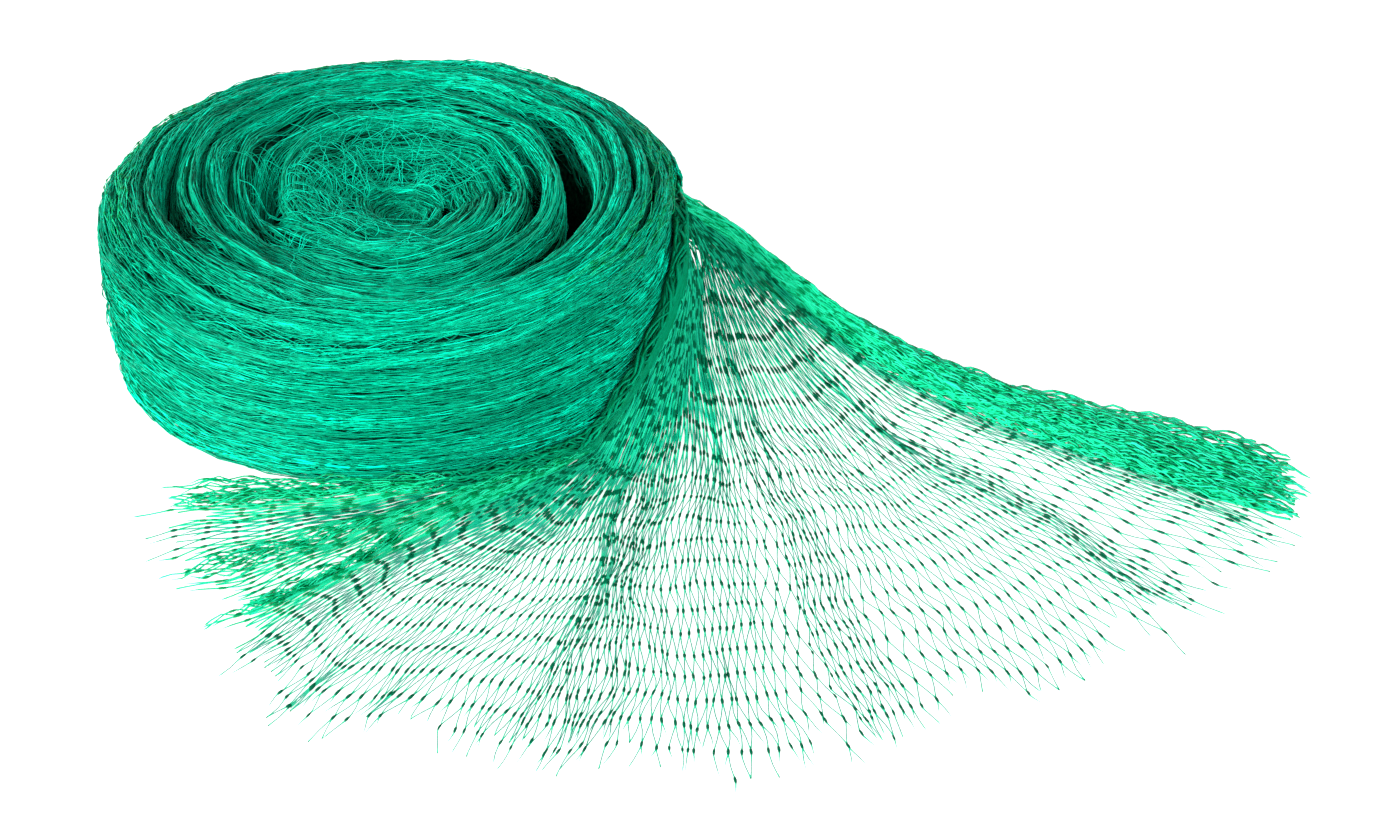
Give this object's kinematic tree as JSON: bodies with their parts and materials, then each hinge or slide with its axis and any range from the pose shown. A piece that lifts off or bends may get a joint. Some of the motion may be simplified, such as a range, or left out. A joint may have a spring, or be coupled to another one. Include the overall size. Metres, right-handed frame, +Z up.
{
  "type": "netting roll",
  "caption": "Soft roll of fine green plastic mesh netting, lying flat, its free end spread on the ground as a wide fan with gathered edges",
  "frame": {"origin": "centre of the footprint's bounding box, on the ground plane", "axes": "+Z up, +X from the roll towards the fan's right-hand gathered edge, -Y towards the fan's rim"},
  "size_m": [0.4854, 0.4234, 0.086],
  "materials": {
    "rolled_netting": "fine extruded polypropylene strands packed side by side, soft satin sheen",
    "spread_netting": "open diamond mesh of hair-fine strands with thick dark green joints",
    "bunched_netting": "gathered folds and edges of the same mesh, dense and grassy green"
  },
  "bodies": {
    "root": {"fan_panel_1": "spread_netting", "fan_panel_2": "spread_netting", "fan_panel_3": "spread_netting", "fan_panel_4": "spread_netting", "fan_panel_5": "spread_netting", "fan_panel_6": "spread_netting", "fan_panel_7": "spread_netting", "fan_panel_8": "spread_netting", "fan_panel_9": "spread_netting", "fan_throat": "spread_netting", "left_gather_1": "bunched_netting", "left_gather_2": "bunched_netting", "left_selvedge_bunch": "bunched_netting", "pleat_1": "bunched_netting", "pleat_2": "bunched_netting", "pleat_3": "bunched_netting", "right_selvedge_bunch": "bunched_netting", "roll_core": "rolled_netting", "thin_lap_1": "rolled_netting", "thin_lap_2": "rolled_netting", "thin_lap_3": "rolled_netting", "thin_lap_4": "rolled_netting", "thin_lap_5": "rolled_netting", "unwinding_tail": "rolled_netting", "wide_lap_1": "rolled_netting", "wide_lap_2": "rolled_netting", "wide_lap_3": "rolled_netting", "wide_lap_4": "rolled_netting"}
  },
  "joints": []
}
